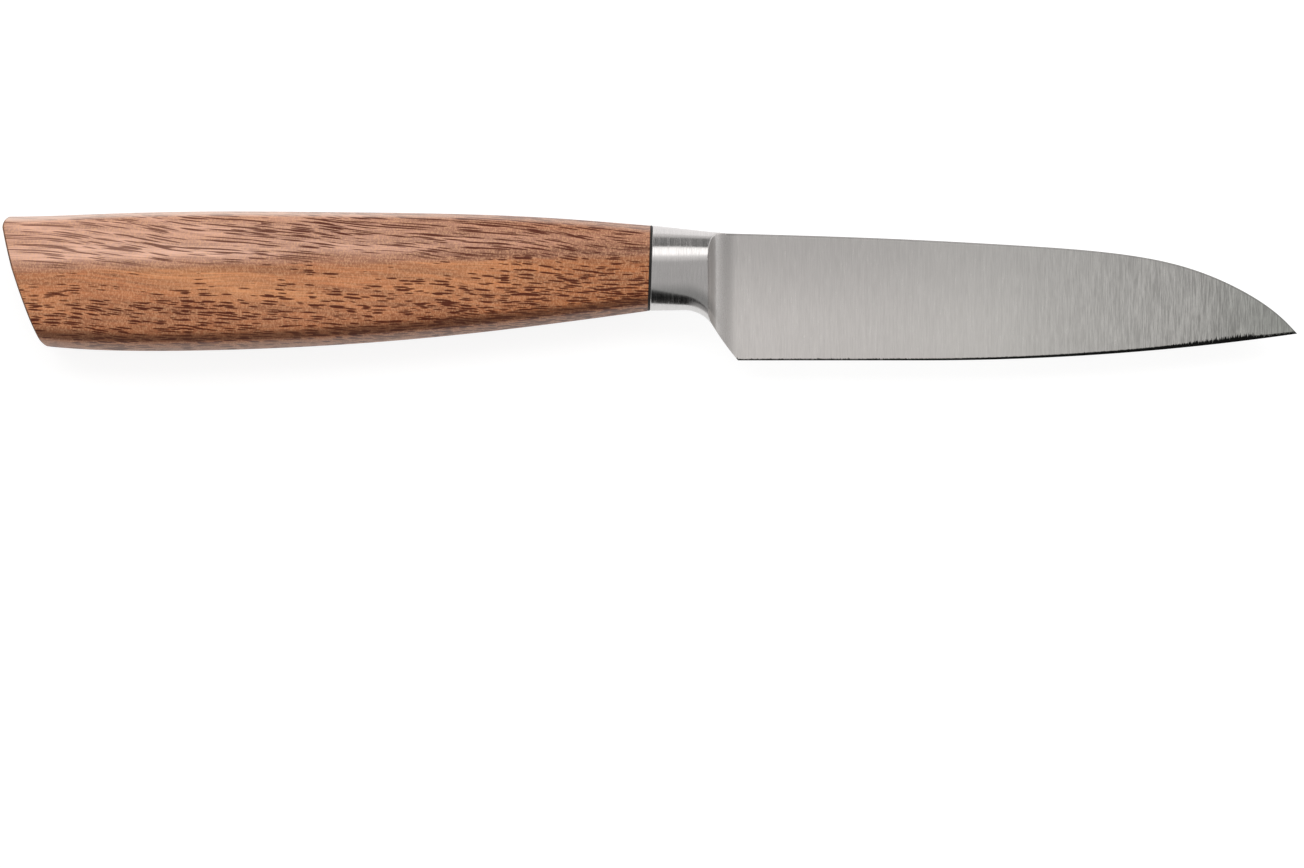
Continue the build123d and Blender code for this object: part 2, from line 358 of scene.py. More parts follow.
def butt_line():
    """Points of the bowed butt with its rounded corners, from below to above."""
    chord = BUTT_TOP - BUTT_FOOT
    span = np.linalg.norm(chord)
    inward = np.array((chord[1], -chord[0])) / span
    centre = (BUTT_TOP + BUTT_FOOT) / 2 + inward * math.sqrt(BUTT_BOW**2 - span**2 / 4)
    points = []
    for corner, side, radius in ((BUTT_FOOT, -1, BUTT_FOOT_ROUND), (BUTT_TOP, 1, BUTT_TOP_ROUND)):
        away = np.array((math.cos(BUTT_LEAD), side * math.sin(BUTT_LEAD)))
        inner = np.array((math.sin(BUTT_LEAD), -side * math.cos(BUTT_LEAD)))
        start = corner + radius * inner - centre
        slope = start @ away
        run = -slope - math.sqrt(slope**2 - (start @ start - (BUTT_BOW - radius) ** 2))
        middle = corner + radius * inner + run * away
        first = math.atan2(-inner[1], -inner[0])
        outward = (middle - centre) / np.linalg.norm(middle - centre)
        last = math.atan2(outward[1], outward[0])
        turn = (last - first + math.pi) % (2 * math.pi) - math.pi
        angles = [first + turn * n / CORNER_STEPS for n in range(CORNER_STEPS + 1)]
        rounding = [middle + radius * direction(angle) for angle in angles]
        far = rounding[0] + away * EDGE_LENGTH
        points.append([far] + rounding if side < 0 else rounding[::-1] + [far])
    first = math.atan2(*(points[0][-1] - centre)[::-1]) % (2 * math.pi)
    last = math.atan2(*(points[1][0] - centre)[::-1]) % (2 * math.pi)
    angles = [between(first, last, n / BOW_STEPS) for n in range(1, BOW_STEPS)]
    bowed = [centre + BUTT_BOW * direction(angle) for angle in angles]
    return np.array(points[0] + bowed + points[1])


BUTT = butt_line()


def behind_butt(height):
    return np.interp(height, BUTT[:, 1], BUTT[:, 0])


def make_handle(material):
    """The walnut block, from the spacer to the butt, with the bore for the tang."""
    shape = Shape()
    codes = outline_codes(HANDLE_STEPS)
    share = np.linspace(0.0, 1.0, HANDLE_ROWS)[:, None] * np.ones((1, len(codes)))
    # Both ends depend on the height and the height on the place along, so they settle in rounds
    height = np.zeros_like(share)
    for _ in range(HANDLE_ROUNDS):
        front = height * JOINT_LEAN - SPACER_RUN - FRONT_EASE
        along = between(front, behind_butt(height) + BUTT_EASE, share)
        height, depth = handle_section(codes, along)
    front = eased_rim(along[0], height[0], depth[0], FRONT_EASE)[::-1]
    back = eased_rim(along[-1], height[-1], depth[-1], -BUTT_EASE)
    index = shape.rings(np.concatenate([front, whole_ring(along, height, depth), back]), flip=True)
    shape.lid(index[-1], flip=True)
    inner = shape.rings(tang_rings(GLUE, (), SPACER_RUN))
    shape.lid(inner[-1])
    shape.washer(index[0], inner[0])
    made = shape.piece("walnut_handle", "handle", "walnut", material, sharp=32.0)
    # How far each point faces up or down the knife's height, and 1 where the butt's end grain is
    facing, end_grain = np.zeros(shape.count), np.zeros(shape.count)
    out_y, _ = rim_normals(height, depth)
    around = np.concatenate([out_y, out_y[:, -2:0:-1]], axis=1)
    at_front = np.repeat(around[:1], len(front), 0)
    at_back = np.repeat(around[-1:], len(back), 0)
    facing[index.ravel()] = np.concatenate([at_front, around, at_back]).ravel()
    end_grain[index[-len(back):].ravel()] = 1.0
    mark(made, "facing", facing)
    mark(made, "end_grain", end_grain)


# Blade, bolster, neck and tang
def underside(x):
    x = np.asarray(x, float)
    straight = -JOINT_BOTTOM + NECK_RISE * x / NECK_STRAIGHT
    bend = BEND_HEIGHT + np.sqrt(np.maximum(BEND_RADIUS**2 - (x - NECK_STRAIGHT) ** 2, 0.0))
    bend_x = NECK_STRAIGHT + BEND_RADIUS * math.sin(BEND_TURN)
    bend_y = BEND_HEIGHT + BEND_RADIUS * math.cos(BEND_TURN)
    run, drop = HEEL[0] - bend_x, HEEL[1] - bend_y
    ease = BEND_TURN - math.atan2(-drop, run)
    radius = math.hypot(run, drop) / (2 * math.sin(ease))
    centre_x = bend_x + radius * math.sin(BEND_TURN)
    centre_y = bend_y + radius * math.cos(BEND_TURN)
    sweep = centre_y - np.sqrt(np.maximum(radius**2 - (x - centre_x) ** 2, 0.0))
    return np.where(x < NECK_STRAIGHT, straight, np.where(x < bend_x, bend, sweep))


def neck_end_place():
    places = np.linspace(0.0, HEEL[0], 4001)
    length = running_length(np.hypot(np.diff(places), np.diff(underside(places))))
    return float(np.interp(NECK_END_SHARE * length[-1], length, places))


NECK_END = neck_end_place()


def natural_curve(places, values):
    """A smooth curve through points, with free ends."""
    steps = np.diff(places)
    count = len(places)
    matrix, right = np.zeros((count, count)), np.zeros(count)
    matrix[0, 0] = matrix[-1, -1] = 1.0
    for n in range(1, count - 1):
        matrix[n, n - 1:n + 2] = steps[n - 1], 2 * (steps[n - 1] + steps[n]), steps[n]
        slope_after = (values[n + 1] - values[n]) / steps[n]
        slope_before = (values[n] - values[n - 1]) / steps[n - 1]
        right[n] = 6 * (slope_after - slope_before)
    bend = np.linalg.solve(matrix, right)

    def at(place):
        n = np.clip(np.searchsorted(places, place) - 1, 0, count - 2)
        step, before, after = steps[n], place - places[n], places[n + 1] - place
        return (
            (bend[n] * after**3 + bend[n + 1] * before**3) / (6 * step)
            + (values[n] / step - bend[n] * step / 6) * after
            + (values[n + 1] / step - bend[n + 1] * step / 6) * before
        )

    return at


def spine_height():
    points = np.array([
        (between(NECK_END, TIP[0], along), between(NECK_TOP, TIP[1], down))
        for along, down in SPINE_POINTS
    ])
    length = running_length(np.hypot(*np.diff(points, axis=0).T))
    dense = np.linspace(0.0, length[-1], 2001)
    xs, ys = natural_curve(length, points[:, 0])(dense), natural_curve(length, points[:, 1])(dense)
    return lambda x: np.interp(x, xs, ys)


SPINE = spine_height()


def top_height(x):
    return np.where(x < NECK_END, between(JOINT_TOP, NECK_TOP, x / NECK_END), SPINE(x))


def edge_height(x):
    run, rise = TIP[0] - EDGE_TURN, TIP[1] - HEEL[1]
    radius = (run**2 + rise**2) / (2 * rise)
    return HEEL[1] + radius - np.sqrt(radius**2 - np.maximum(x - EDGE_TURN, 0.0) ** 2)


def bottom_height(x):
    return np.where(x < HEEL[0], underside(x), edge_height(x))


def flank_depth(x, y):
    """Depth of the ground flank, with the hollow and the ramp that end it at the bolster."""
    into = np.clip(HEEL[0] - x, 0.0, GRIND_RADIUS)
    hollow = GRIND_RADIUS - np.sqrt(np.maximum(GRIND_RADIUS**2 - into**2, 0.0))
    beyond = np.maximum(HEEL[0] - x - GRIND_RADIUS, 0.0) * BEYOND_SLOPE
    return EDGE_HALF + FLANK_SLOPE * (y - HEEL[1]) + hollow + beyond


def neck_half(x):
    """Half an outline of bolster and neck, cut by the hollow that the grind leaves."""
    share = max(x, 0.0) / NECK_END

    def here(first, last=None):
        return np.full((1, 1), first if last is None else between(first, last, share))

    _, _, ridge, half, lean, top_round, ridge_round, bottom_round = AT_JOINT
    codes = outline_codes(NECK_STEPS)
    y, z = section_points(
        codes, here(float(top_height(x))), here(-float(bottom_height(x))), here(ridge),
        here(half, NECK_HALF), here(lean), here(top_round, NECK_TOP_ROUND),
        here(ridge_round), here(bottom_round, NECK_BOTTOM_ROUND),
    )
    side = (codes[:, 0] > TOP_FLAT) & (codes[:, 0] < BOTTOM_FLAT)
    y, z, piece = y[0][side], z[0][side], codes[side, 0]
    ramp = flank_depth(x, y)
    near = np.clip(1 - np.abs(ramp - z) / CREASE, 0.0, 1.0)
    z = np.maximum(soft_minimum(z, ramp, CREASE), 0.0)
    # Rows lie closer in the corners, a little closer on the ridge, and closest at the crease
    weight = np.where(piece == RIDGE, RIDGE_WEIGHT, 1.0)
    weight = np.where((piece == TOP_CORNER) | (piece == BOTTOM_CORNER), CORNER_WEIGHT, weight)
    steps = np.hypot(np.diff(y), np.diff(z)) * (weight[1:] + weight[:-1]) / 2 * (1 + near[1:])
    length = running_length(steps)
    first = SPINE_EASE * weight[0] / length[-1]
    rows = np.concatenate([
        np.linspace(0.0, first, EASE_ROWS + 1)[:-1], np.linspace(first, 1.0, SIDE_ROWS - EASE_ROWS),
    ])
    return np.interp(rows, length / length[-1], y), np.interp(rows, length / length[-1], z)


def flank_half(x, spread):
    """Half an outline of the ground blade: eased spine, flank and the edge's bevel."""
    top, bottom = float(top_height(x)), float(bottom_height(x))
    thinner = 1 - TIP_THINNER * float(smooth_step(THIN_FROM, TIP[0], x))
    end = bottom
    if x >= HEEL[0]:
        reach = (EDGE_HALF + FLANK_SLOPE * (bottom - HEEL[1])) * thinner
        end = min(bottom + reach / (BEVEL - FLANK_SLOPE * thinner), between(bottom, top, 0.5))
    corner = float(flank_depth(x, top)) * thinner
    ease = min(SPINE_EASE, (top - end) * 0.3, corner * 0.6)
    rows = np.linspace(0.0, 1.0, SIDE_ROWS - EASE_ROWS)
    shares = between(spread, rows, float(smooth_step(NECK_END, NECK_END + EVEN_AFTER, x)))
    y = top - ease + (end - top + ease) * shares
    z = flank_depth(x, y) * thinner
    if x >= HEEL[0]:
        z = np.minimum(z, (y - bottom) * BEVEL)
    turn = np.linspace(0.0, math.pi / 2, EASE_ROWS + 1)[:-1]
    ease_y = top - ease * (1 - np.cos(turn))
    ease_z = z[0] - ease * (1 - np.sin(turn))
    return np.concatenate([ease_y, y]), np.concatenate([ease_z, z])


def blade_half(x, spread):
    """Half a ring of the blade at one place along: from the spine's middle to the edge's."""
    side_y, side_z = neck_half(x) if x < NECK_END else flank_half(x, spread)
    flat = np.linspace(0.0, 1.0, FLAT_ROWS + 1)[:-1]
    foot = np.linspace(0.0, 1.0, FOOT_ROWS + 1)[1:]
    foot_y = between(side_y[-1], float(bottom_height(x)), foot)
    y = np.concatenate([np.full(FLAT_ROWS, side_y[0]), side_y, foot_y])
    z = np.concatenate([flat * side_z[0], side_z, side_z[-1] * (1 - foot)])
    return y, z


def side_shares():
    """How the rows lie on the neck's side where the blade begins, as shares of its height."""
    y = neck_half(NECK_END - 1e-6)[0][EASE_ROWS:]
    return (y[0] - y) / (y[0] - y[-1])


def blade_places():
    """Places of the rings: closest over the grind's ramp and at the tip."""
    ramp_turns = np.radians(np.arange(0.0, 82.0, 1.6))
    tip_from, tip_end = 99.5, TIP[0] - 0.02
    ramp = [HEEL[0] - GRIND_RADIUS * math.sin(turn) for turn in ramp_turns]
    bolster = list(np.linspace(0.0, min(ramp) - 0.15, 38))
    blade = list(between(HEEL[0], tip_from, np.linspace(0.0, 1.0, 100)[1:]))
    last = list(between(tip_from, tip_end, slowing(34)))
    return np.array(sorted(bolster + ramp + blade + last))


def make_blade(material):
    """The forging: the tang, the bolster, the neck and the ground blade."""
    shape = Shape()
    spread = side_shares()
    rings = []
    for place in blade_places():
        y, z = blade_half(place, spread)
        x = np.full_like(y, place)
        if place < LEAN_END:
            x = place + (y * JOINT_LEAN + BOLSTER_EASE) * (1 - place / LEAN_END)
        rings.append((x, y, z))
    x, y, z = (np.array(values) for values in zip(*rings))
    front = eased_rim(x[0], y[0], z[0], -BOLSTER_EASE)[::-1]
    index = shape.rings(np.concatenate([front, whole_ring(x, y, z)]))
    shape.lid(index[-1])
    inner = shape.rings(tang_rings(0.0, NOTCHES, 0.0), flip=True)
    shape.lid(inner[-1], flip=True)
    shape.washer(index[0], inner[0], flip=True)
    made = shape.piece("forged_blade", "blade", "satin_steel", material, sharp=30.0)
    # Where the edge's painted dark band lies: 1 at its upper line, less below it; and how far
    # each point lies under the spine and, on bolster and neck, over the belly, in millimetres
    points = np.concatenate(shape.points)
    along, height = points[:, 0], points[:, 1]
    under, over = top_height(along) - height, height - bottom_height(along)
    reach = np.interp(along, DARK_BAND_PLACES, DARK_BAND_REACH)
    mark(made, "dark_band_share", np.where(along > DARK_BAND_FROM, over / reach, FAR))
    mark(made, "under_spine", np.where(along > NECK_END, under, FAR))
    mark(made, "over_belly", np.where(along < HEEL[0], over, FAR))


# Materials
def colour(red, green, blue):
    """A colour as it looks on screen, 0 to 255, as the linear value that a shader takes."""
    seen = [c / 255 for c in (red, green, blue)]
    linear = [c / 12.92 if c <= 0.04045 else ((c + 0.055) / 1.055) ** 2.4 for c in seen]
    return tuple(linear) + (1.0,)


def grey(level):
    return (level, level, level, 1.0)


class Maker:
    """Short ways to add nodes. A source is a number, a colour or another node's output."""

    def __init__(self, tree):
        tree.nodes.clear()
        self.nodes, self.links = tree.nodes, tree.links
        self.coordinates = self.nodes.new("ShaderNodeTexCoord").outputs
        self.place = self.coordinates["Object"]

    def fill(self, node, sources):
        for name, source in sources.items():
            if isinstance(source, (int, float, tuple)):
                node.inputs[name].default_value = source
            else:
                self.links.new(source, node.inputs[name])

    def node(self, kind, sources=None, **settings):
        made = self.nodes.new(kind)
        for name, setting in settings.items():
            setattr(made, name, setting)
        self.fill(made, sources or {})
        return made

    def stretched(self, scale, shift=(0.0, 0.0, 0.0), source=None):
        sources = {"Vector": source or self.place, "Scale": scale, "Location": shift}
        return self.node("ShaderNodeMapping", sources).outputs["Vector"]

    def noise(self, vector, size, detail, rough):
        """Noise with `size` waves to the metre."""
        sources = {"Vector": vector, "Scale": size, "Detail": detail, "Roughness": rough}
        return self.node("ShaderNodeTexNoise", sources).outputs["Fac"]

    def cells(self, vector, size):
        """Distance to each cell's middle, and a number from 0 to 1 picked for the cell."""
        cell = self.node("ShaderNodeTexVoronoi", {"Vector": vector, "Scale": size})
        pick = self.node("ShaderNodeSeparateColor", {"Color": cell.outputs["Color"]})
        return cell.outputs["Distance"], pick.outputs["Red"]

    def math(self, kind, a, b=0.0, clamp=False):
        node = self.node("ShaderNodeMath", {0: a, 1: b}, operation=kind, use_clamp=clamp)
        return node.outputs["Value"]

    def plus(self, a, b):
        return self.math("ADD", a, b)

    def minus(self, a, b):
        return self.math("SUBTRACT", a, b)

    def times(self, a, b):
        return self.math("MULTIPLY", a, b)

    def larger(self, a, b):
        return self.math("MAXIMUM", a, b)

    def apart(self, a, b):
        return self.math("ABSOLUTE", self.minus(a, b))

    def swing(self, noise, reach):
        """Noise about its middle value, as a swing of `reach` from end to end."""
        return self.times(self.minus(noise, 0.5), reach)

    def spread(self, value, low, high, to_low=0.0, to_high=1.0):
        """A soft step from to_low where the value is low to to_high where it is high."""
        sources = {"Value": value, "From Min": low, "From Max": high}
        sources |= {"To Min": to_low, "To Max": to_high}
        step = self.node("ShaderNodeMapRange", sources, interpolation_type="SMOOTHSTEP")
        return step.outputs["Result"]

    def mix(self, share, a, b):
        """Colour a where the share is 0 and b where it is 1."""
        mixed = self.node("ShaderNodeMix", {"Factor": share, 6: a, 7: b}, data_type="RGBA")
        return mixed.outputs[2]

    def attribute(self, name):
        return self.node("ShaderNodeAttribute", attribute_name=name).outputs["Fac"]

    def parts(self, vector):
        split = self.node("ShaderNodeSeparateXYZ", {"Vector": vector})
        return split.outputs["X"], split.outputs["Y"], split.outputs["Z"]

    def bump(self, height, strength, distance):
        sources = {"Height": height, "Strength": strength, "Distance": distance}
        return self.node("ShaderNodeBump", sources).outputs["Normal"]


def new_material(name):
    made = bpy.data.materials.new(name)
    made.use_nodes = True
    make = Maker(made.node_tree)
    shader = make.node("ShaderNodeBsdfPrincipled")
    make.node("ShaderNodeOutputMaterial", {"Surface": shader.outputs["BSDF"]})
    return made, make, shader


# From here to here, in metres along, the grind's ramp leads from bolster to blade
RAMP = (0.0090, 0.0135)


def satin_steel():
    """Steel brushed across the blade, with a brighter bolster, painted highlights and shade in its
    tone, and a painted dark reflection along the edge.
    """
    made, make, shader = new_material("satin_steel")
    x, y, _ = make.parts(make.place)
    brush = make.noise(make.stretched((1.0, 0.05, 0.05)), 6400.0, 3.0, 0.75)
    coarse = make.noise(make.stretched((1.0, 0.03, 0.03), (0.3, 0.1, 0.2)), 2300.0, 2.0, 0.5)
    cloud = make.noise(make.stretched((1.0, 0.6, 0.6)), 45.0, 2.0, 0.5)

    # Blade: a painted shading of its reflections, paler down to the edge, more even towards the tip
    # and greyer at it
    lengthways = make.spread(x, 0.015, 0.085)
    at_spine = make.mix(lengthways, colour(216, 213, 211), colour(215, 214, 211))
    at_edge = make.mix(lengthways, colour(248, 244, 241), colour(227, 226, 222))
    blade = make.mix(make.spread(y, 0.009, -0.009), at_spine, at_edge)
    blade = make.mix(make.spread(x, 0.083, 0.107, 0.0, 0.95), blade, colour(182, 186, 180))

    # Bolster: paler along its top, a painted highlight, and a painted shade that deepens towards
    # its lower corner, where the steel mirrors a dark card
    bolster = make.mix(make.spread(y, 0.0072, 0.0086), colour(206, 204, 203), colour(219, 215, 214))
    over_belly = make.attribute("over_belly")
    # Painted shade: darker over the belly, where the bolster mirrors a dark card
    painted_bolster_shade = make.spread(over_belly, 4.8, 2.5, 0.0, 0.60)
    painted_bolster_shade = make.times(painted_bolster_shade, make.spread(over_belly, 1.5, 2.0))
    painted_bolster_shade = make.times(painted_bolster_shade, make.spread(x, 0.0085, 0.0125, 1.0, 0.0))
    bolster = make.mix(painted_bolster_shade, bolster, colour(120, 122, 121))
    on_blade = make.spread(x, *RAMP)
    tone = make.mix(on_blade, bolster, blade)

    # Marks of the brush, stronger to the tip, and a painted dark reflection along the spine's
    # corner
    streaks = make.times(make.spread(brush, 0.32, 0.68), make.spread(x, 0.050, 0.100, 0.13, 0.80))
    tone = make.mix(streaks, tone, colour(140, 139, 137))
    tone = make.mix(make.spread(coarse, 0.30, 0.70, 0.04, 0.0), tone, colour(130, 128, 126))
    tone = make.mix(make.spread(cloud, 0.3, 0.7, 0.0, 0.06), tone, colour(140, 138, 136))
    # Painted shade: a dark line along the spine's eased corner
    painted_corner_shade = make.spread(make.attribute("under_spine"), 0.20, 0.34, 0.66, 0.0)
    tone = make.mix(painted_corner_shade, tone, colour(120, 118, 116))

    # Edge: a painted dark reflection of the bevel, as a dark band with a ragged upper line, torn
    # into teeth near the tip
    teeth = make.noise(make.stretched((1.0, 0.03, 0.03), (0.7, 0.2, 0.1)), 6800.0, 1.0, 0.5)
    ragged = make.swing(teeth, make.spread(x, 0.030, 0.050, 2.6, 0.6))
    torn = make.swing(teeth, make.spread(x, 0.083, 0.090, 0.0, 1.9))
    dark_band_share = make.plus(make.plus(make.attribute("dark_band_share"), ragged), torn)
    # Painted dark reflection: the band that the bevel shows where it mirrors darkness
    painted_edge_shade = make.spread(dark_band_share, 0.88, 1.12, 1.0, 0.0)
    painted_edge_shade = make.times(painted_edge_shade, make.spread(x, 0.010, 0.045, 0.80, 0.97))
    tone = make.mix(painted_edge_shade, tone, colour(34, 35, 34))

    rough = make.spread(x, *RAMP, 0.17, 0.33)
    rough = make.plus(make.spread(brush, 0.28, 0.72, -0.06, 0.08), rough)
    uneven = make.times(make.spread(coarse, 0.35, 0.65, 0.0, 0.05), make.minus(1.0, on_blade))
    make.fill(shader, {
        "Base Color": tone,
        "Metallic": 1.0,
        "Roughness": make.plus(rough, uneven),
        "Normal": make.bump(brush, 0.10, 0.00001),
    })
    return made


# The handle's ridge as a straight line: how much it rises to the bolster, and its height at 0
RIDGE_RISE, RIDGE_HEIGHT = 0.0278, 0.00534


def walnut():
    """Oiled walnut: rosy above the ridge, partly a painted sheen, orange below it, with pores along
    the grain and painted highlights and shade on its long edges.
    """
    made, make, shader = new_material("walnut")
    x, y, z = make.parts(make.place)
    over = make.minus(y, make.plus(make.times(x, RIDGE_RISE), RIDGE_HEIGHT))
    wander = make.noise(make.stretched((0.25, 1.0, 1.0), (0.6, 0.3, 0.8)), 420.0, 2.0, 0.5)
    wander = make.swing(wander, 0.0028)
    upper = make.spread(make.plus(over, wander), -0.0009, 0.0011)
    warp = make.swing(make.noise(make.stretched((0.5, 1.0, 1.0)), 70.0, 1.0, 0.5), 0.0034)

    def grain(slope):
        """Places as the grain has them: it falls by `slope` to the bolster and wanders a little."""
        across = make.plus(make.plus(y, make.times(x, slope)), warp)
        return make.node("ShaderNodeCombineXYZ", {0: x, 1: across, 2: z}).outputs["Vector"]

    def pores(source, size, run, shift, thick, density):
        """Dark dashes, one to a cell `size` cells to the metre across and `run` times as long."""
        distance, pick = make.cells(make.stretched((1 / run, 1.0, 0.6), shift, source), size)
        reach = make.spread(make.minus(density, pick), -0.05, 0.12, 0.0, thick)
        return make.spread(make.minus(reach, distance), 0.0, 0.11)

    steep, level = grain(0.115), grain(0.050)
    broad = make.noise(make.stretched((0.10, 1.0, 0.8), source=steep), 210.0, 3.0, 0.55)
    streak = make.noise(make.stretched((0.05, 1.0, 0.7), source=steep), 900.0, 2.0, 0.55)
    fibre = make.noise(make.stretched((0.035, 1.0, 1.0), source=level), 4200.0, 2.0, 0.6)
    fleck = make.noise(make.stretched((1.0, 0.6, 1.0)), 3600.0, 2.0, 0.7)
    broad = make.spread(broad, 0.3, 0.7)

    # Above the ridge: rosy, partly a painted sheen, browner to the bolster, with a paler painted
    # sheen just over the ridge
    rosy = make.mix(broad, colour(198, 146, 121), colour(229, 180, 158))
    rosy = make.mix(make.spread(x, -0.074, -0.004, 0.0, 0.94), rosy, colour(154, 96, 66))
    # Painted sheen: a paler band just over the ridge, where light glances off the upper facet
    painted_sheen = make.spread(make.apart(over, 0.0024), 0.0004, 0.0020, 0.40, 0.0)
    painted_sheen = make.times(painted_sheen, make.spread(x, -0.070, -0.004, 1.0, 0.3))
    rosy = make.mix(painted_sheen, rosy, colour(236, 191, 171))

    # Below it: orange, browner to the belly and to the bolster
    orange = make.mix(broad, colour(197, 125, 83), colour(222, 151, 102))
    brown = make.mix(broad, colour(156, 95, 62), colour(190, 121, 82))
    lower = make.mix(make.spread(over, -0.0035, -0.0100), orange, brown)
    lower = make.mix(make.spread(x, -0.044, -0.006, 0.0, 0.62), lower, colour(173, 101, 56))
    tone = make.mix(upper, lower, rosy)

    # A darker line on the ridge, then streaks, fibres and pale flecks over all
    from_ridge = make.apart(make.plus(over, make.times(wander, 0.5)), 0.0003)
    ridge = make.spread(from_ridge, 0.0003, 0.0014, 1.0, 0.0)
    ridge = make.times(ridge, make.spread(x, -0.060, -0.012, 0.55, 0.80))
    tone = make.mix(ridge, tone, colour(137, 92, 73))
    tone = make.mix(make.spread(streak, 0.40, 0.66, 0.0, 0.42), tone, colour(127, 85, 64))
    tone = make.mix(make.spread(fibre, 0.32, 0.70, 0.0, 0.46), tone, colour(103, 68, 52))
    tone = make.mix(make.spread(fleck, 0.42, 0.66, 0.0, 0.36), tone, colour(234, 181, 137))

    # Pores: long fine lines above the ridge, short dashes below it, more of them to the bolster
    clusters = make.noise(make.stretched((0.35, 1.0, 1.0), (0.2, 0.4, 0.1)), 260.0, 1.5, 0.5)
    crowd = make.swing(clusters, 0.85)
    upward = make.plus(make.times(crowd, 0.6), make.spread(over, 0.0008, 0.0052, 0.38, 0.84))
    nearer = make.plus(crowd, make.spread(x, -0.090, -0.030, 0.34, 0.80))
    above = make.larger(
        pores(steep, 3400.0, 48.0, (0.0, 0.0, 0.0), 0.46, upward),
        pores(steep, 3200.0, 17.0, (0.5, 0.2, 0.3), 0.44, nearer),
    )
    downward = make.plus(crowd, make.spread(over, -0.0012, -0.0078, 0.10, 0.62))
    downward = make.plus(downward, make.spread(x, -0.056, -0.002, 0.0, 0.40))
    below = make.larger(
        pores(level, 2900.0, 10.0, (0.1, 0.6, 0.2), 0.47, downward),
        pores(level, 3400.0, 7.5, (0.3, 0.1, 0.7), 0.46, downward),
    )
    pore = make.plus(make.times(above, upper), make.times(below, make.minus(1.0, upper)))
    fainter = make.times(upper, make.spread(x, -0.098, -0.050, 0.26, 0.0))
    tone = make.mix(make.times(pore, make.minus(0.94, fainter)), tone, colour(74, 21, 2))

    # Long edges: painted highlights on the outermost roundings, where they mirror the white floor,
    # and a painted shade just inside the lower one
    facing = make.attribute("facing")
    # Painted shade just inside the lower rounding
    painted_low_shade = make.times(make.spread(facing, -0.30, -0.52), make.spread(facing, -0.74, -0.66))
    tone = make.mix(make.times(painted_low_shade, 0.62), tone, colour(82, 47, 31))
    # Painted highlights on the outermost roundings
    painted_upper_highlight = make.spread(facing, 0.66, 0.90)
    painted_upper_highlight = make.times(painted_upper_highlight, make.spread(facing, 0.93, 1.0, 1.0, 0.35))
    painted_upper_highlight = make.times(painted_upper_highlight, make.spread(x, -0.070, -0.010, 0.62, 0.26))
    painted_lower_highlight = make.spread(facing, -0.66, -0.84)
    painted_lower_highlight = make.times(painted_lower_highlight, make.spread(facing, -0.93, -1.0, 0.26, 0.12))
    tone = make.mix(make.larger(painted_upper_highlight, painted_lower_highlight), tone, colour(228, 207, 195))

    # End grain on the butt
    rings = make.noise(make.stretched((1.0, 1.0, 0.35)), 1100.0, 2.0, 0.5)
    end = make.mix(make.spread(rings, 0.35, 0.65), colour(92, 62, 44), colour(128, 90, 64))
    make.fill(shader, {
        "Base Color": make.mix(make.attribute("end_grain"), tone, end),
        "Roughness": make.spread(pore, 0.0, 1.0, 0.44, 0.64),
        "Specular IOR Level": 0.22,
        "Coat Weight": 0.12,
        "Coat Roughness": 0.38,
        "Normal": make.bump(make.minus(make.times(fleck, 0.12), pore), 0.25, 0.00005),
    })
    return made


def black_fibre():
    made, make, shader = new_material("black_fibre")
    fibres = make.noise(make.stretched((1.0, 0.3, 1.0)), 3000.0, 2.0, 0.5)
    make.fill(shader, {
        "Base Color": make.mix(fibres, colour(18, 16, 15), colour(34, 30, 28)),
        "Roughness": 0.65,
        "Normal": make.bump(fibres, 0.1, 0.00005),
    })
    return made


def cured_epoxy():
    made, make, shader = new_material("cured_epoxy")
    cloud = make.noise(make.place, 300.0, 2.0, 0.5)
    make.fill(shader, {
        "Base Color": make.mix(cloud, colour(120, 96, 58), colour(160, 132, 84)),
        "Roughness": 0.3,
        "Normal": make.bump(cloud, 0.1, 0.0001),
    })
    return made


def dress(node, material):
    """Give a CAD node that stays its material."""
    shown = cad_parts[node]
    shown.data.materials.clear()
    shown.data.materials.append(material)


# Floor, light and camera
def pale_floor():
    """A pale floor that keeps the knife's shadow and looks white to camera and steel."""
    size, drop = 3.0, -0.0002
    corners = [(-size, -size, 0), (size, -size, 0), (size, size, 0), (-size, size, 0)]
    mesh = bpy.data.meshes.new("floor")
    mesh.from_pydata(corners, [], [(0, 1, 2, 3)])
    floor = bpy.data.objects.new("floor", mesh)
    floor.location.z = drop
    bpy.context.scene.collection.objects.link(floor)
    made = bpy.data.materials.new("pale_floor")
    made.use_nodes = True
    make = Maker(made.node_tree)
    ray = make.node("ShaderNodeLightPath").outputs
    seen = make.larger(ray["Is Camera Ray"], ray["Is Glossy Ray"])
    seen = make.larger(seen, ray["Is Transmission Ray"])
    lit = make.node("ShaderNodeBsdfDiffuse", {"Color": grey(0.8)})
    shadowed = make.node("ShaderNodeBsdfDiffuse", {"Color": grey(0.25)})
    glow = make.node("ShaderNodeEmission", {"Color": grey(0.86), "Strength": 1.0})
    white = make.node("ShaderNodeAddShader", {0: shadowed.outputs[0], 1: glow.outputs[0]})
    choice = make.node("ShaderNodeMixShader", {0: seen, 1: lit.outputs[0], 2: white.outputs[0]})
    make.node("ShaderNodeOutputMaterial", {"Surface": choice.outputs[0]})
    floor.data.materials.append(made)


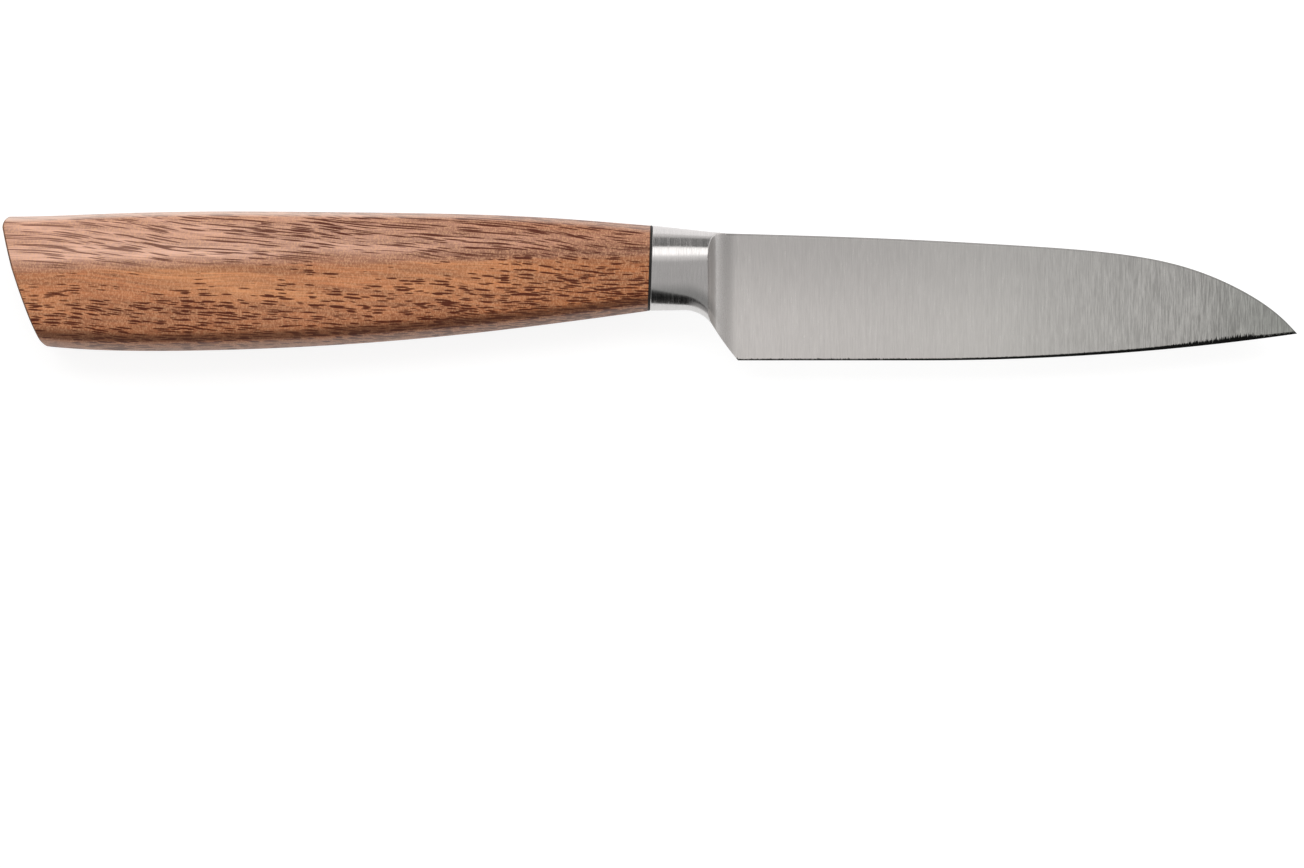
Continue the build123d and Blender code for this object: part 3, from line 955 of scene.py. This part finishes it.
# Light from each tilt, in degrees from straight above: minus is the edge's side, plus the
# spine's. CARDED holds a dark card on the edge's side, a bright band and a dim one.
CARDED = (
    (-100, 0.95), (-91, 0.95), (-87, 0.12), (-66, 0.01), (-46, 0.01), (-30, 0.03), (-17, 0.16),
    (-9, 0.58), (0, 0.80), (10, 0.95), (24, 1.9), (44, 1.85), (48, 1.6), (53, 0.10), (62, 0.20),
    (72, 0.72), (82, 1.1), (91, 1.1), (100, 1.1),
)
PLAIN = (
    (-100, 0.95), (-60, 0.70), (-30, 0.55), (-8, 0.65), (0, 0.80), (10, 0.95), (24, 1.4),
    (44, 1.5), (60, 0.8), (100, 1.0),
)
TILT_END = 100
WARMTH = (1.0, 0.985, 0.975)


def studio_world():
    """A soft studio: level light overhead, dimmer to the sides, and white to the camera."""
    world = bpy.data.worlds.new("studio")
    bpy.context.scene.world = world
    world.use_nodes = True
    make = Maker(world.node_tree)
    x, y, z = make.parts(make.coordinates["Generated"])
    tilt = make.math("DEGREES", make.math("ARCTAN2", y, z))
    share = make.math("DIVIDE", make.plus(tilt, float(TILT_END)), 2.0 * TILT_END, clamp=True)

    def band(stops):
        ramp = make.node("ShaderNodeValToRGB", {"Fac": share})
        ramp.color_ramp.interpolation = "EASE"
        elements = ramp.color_ramp.elements
        while len(elements) > 1:
            elements.remove(elements[-1])
        for n, (angle, level) in enumerate(stops):
            place = (angle + TILT_END) / (2 * TILT_END)
            stop = elements[0] if n == 0 else elements.new(place)
            stop.position = place
            stop.color = tuple(level * part for part in WARMTH) + (1,)
        return ramp.outputs["Color"]

    # The cards stand only before and behind the knife. To its two ends the light dims, and it
    # comes back a little low down.
    across = make.mix(make.spread(make.math("ABSOLUTE", x), 0.13, 0.32), band(CARDED), band(PLAIN))
    side = make.math("ABSOLUTE", make.math("DEGREES", make.math("ARCTAN2", x, z)))
    level = make.spread(side, 5.0, 28.0, 1.0, 0.58)
    level = make.plus(level, make.spread(side, 50.0, 84.0, 0.0, 0.36))
    light = make.node("ShaderNodeVectorMath", {0: across, "Scale": level}, operation="SCALE")

    # White for the camera, and near the horizon for reflections too
    ray = make.node("ShaderNodeLightPath").outputs
    mirrored = make.larger(ray["Is Glossy Ray"], ray["Is Transmission Ray"])
    mirrored = make.times(mirrored, make.spread(z, 0.0, 0.06, 1.0, 0.0))
    white = make.larger(ray["Is Camera Ray"], mirrored)
    seen = make.mix(white, light.outputs[0], grey(1.0))
    background = make.node("ShaderNodeBackground", {"Color": seen, "Strength": 1.0})
    make.node("ShaderNodeOutputWorld", {"Surface": background.outputs[0]})


def softbox():
    """A long lamp over the spine's side. Nothing mirrors it."""
    angle, distance, width, length, strength = math.radians(31.0), 0.9, 0.46, 1.5, 2.3
    light = bpy.data.lights.new("softbox", "AREA")
    light.shape = "RECTANGLE"
    light.size, light.size_y = length, width
    light.energy = strength * math.pi * width * length
    lamp = bpy.data.objects.new("softbox", light)
    bpy.context.scene.collection.objects.link(lamp)
    lamp.location = (0.0, math.sin(angle) * distance, math.cos(angle) * distance)
    lamp.rotation_euler = (-angle, 0, 0)
    lamp.visible_glossy = False


def photo_camera():
    """A long lens straight above the knife, which fills the frame's width."""
    frame_width, lens, sensor = 210.5 * MM, 200.0, 36.0
    data = bpy.data.cameras.new("camera")
    data.lens, data.sensor_width = lens, sensor
    data.clip_start, data.clip_end = 0.05, 20.0
    camera = bpy.data.objects.new("camera", data)
    bpy.context.scene.collection.objects.link(camera)
    camera.location = (0.000167, -0.02386, frame_width * lens / sensor + MIDDLE[2] * MM)
    bpy.context.scene.camera = camera


make_blade(satin_steel())
make_handle(walnut())
dress("spacer", black_fibre())
dress("tang_adhesive", cured_epoxy())
pale_floor()
studio_world()
softbox()
photo_camera()
bpy.context.scene.view_settings.view_transform = "Standard"
